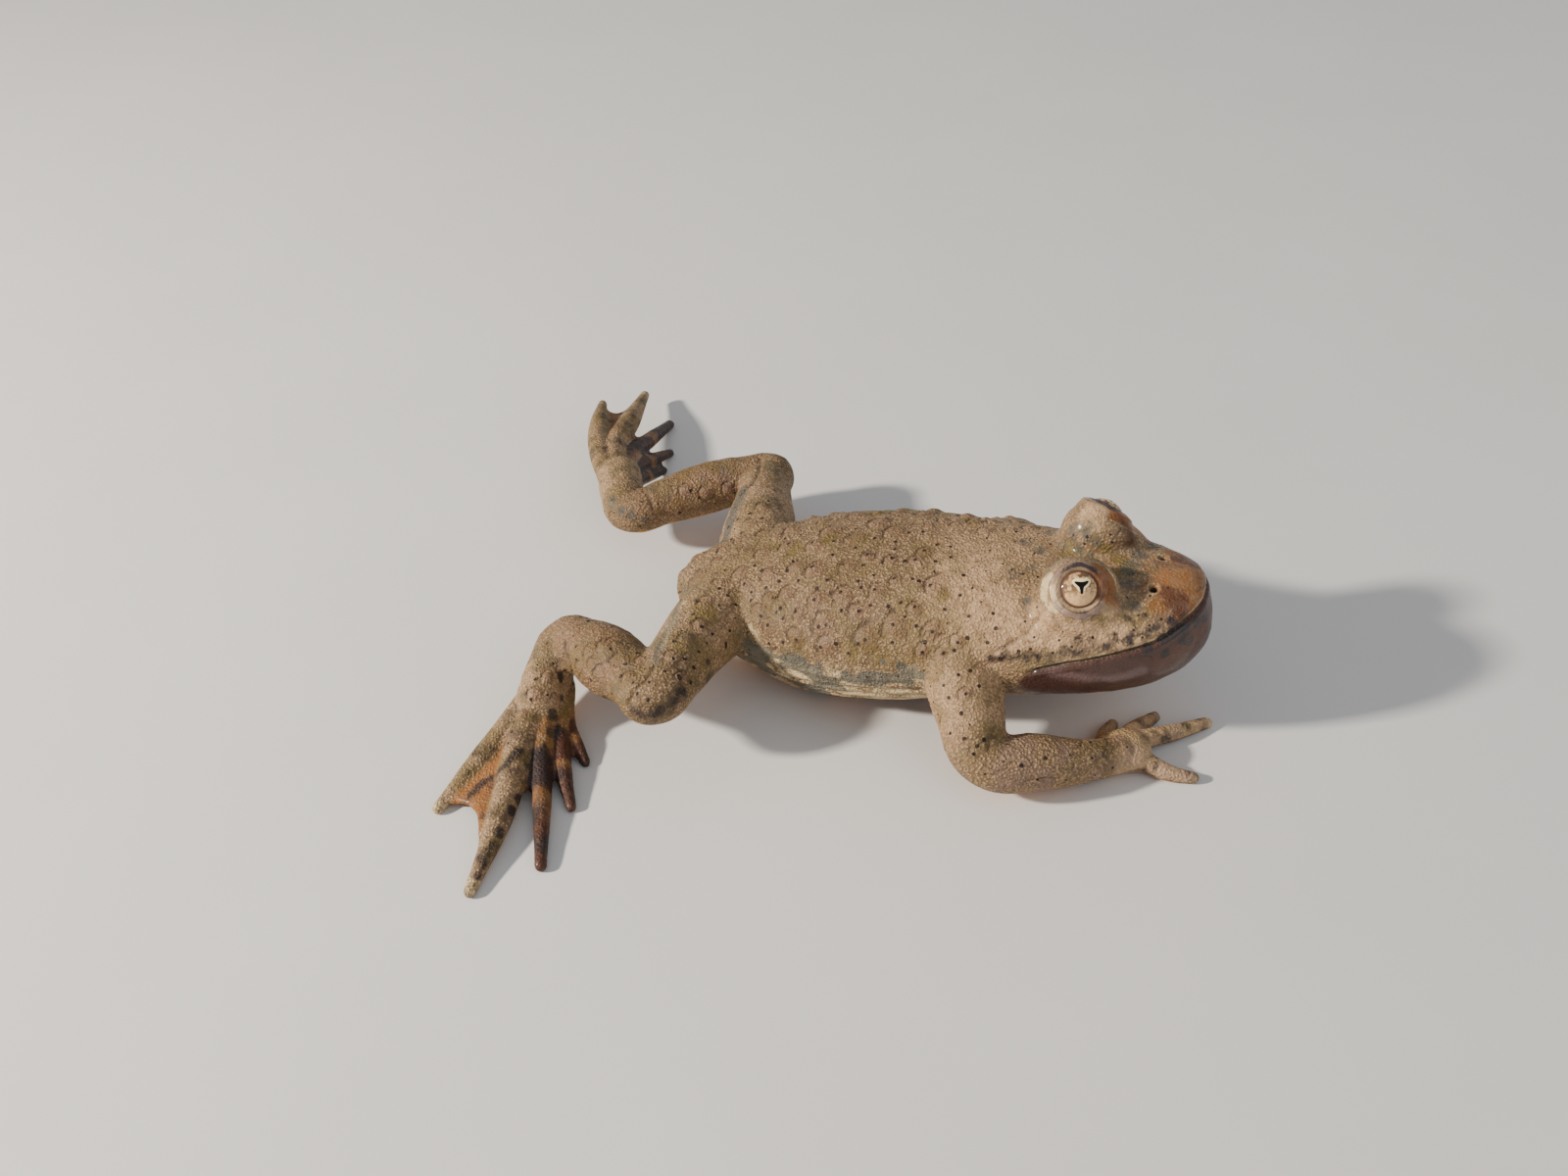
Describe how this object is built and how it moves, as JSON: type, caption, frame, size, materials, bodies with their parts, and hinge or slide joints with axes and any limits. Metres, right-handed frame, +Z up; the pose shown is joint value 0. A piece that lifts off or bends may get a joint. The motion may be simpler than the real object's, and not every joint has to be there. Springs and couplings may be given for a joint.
{
  "type": "fire bellied toad",
  "caption": "Small warty toad at life size, chest propped on its forearms, hind legs spread wide and feet webbed.",
  "frame": {"origin": "middle of the bounding box at floor level", "axes": "+X from the rump towards the snout, +Y to the toad's left, +Z up"},
  "size_m": [0.0672, 0.0652, 0.0173],
  "materials": {
    "back_skin": "wet warty skin",
    "throat_skin": "wet thin skin",
    "limb_skin": "wet granular skin",
    "web_skin": "wet thin skin",
    "eye": "clear and wet"
  },
  "bodies": {
    "root": {"head": "back_skin", "lower_jaw": "throat_skin", "torso": "back_skin", "left_eye": "eye", "left_upper_arm": "limb_skin", "left_forearm": "limb_skin", "left_hand": "limb_skin", "left_thigh": "limb_skin", "left_shank": "limb_skin", "left_foot": "web_skin", "right_eye": "eye", "right_upper_arm": "limb_skin", "right_forearm": "limb_skin", "right_hand": "limb_skin", "right_thigh": "limb_skin", "right_shank": "limb_skin", "right_foot": "web_skin"}
  },
  "joints": []
}
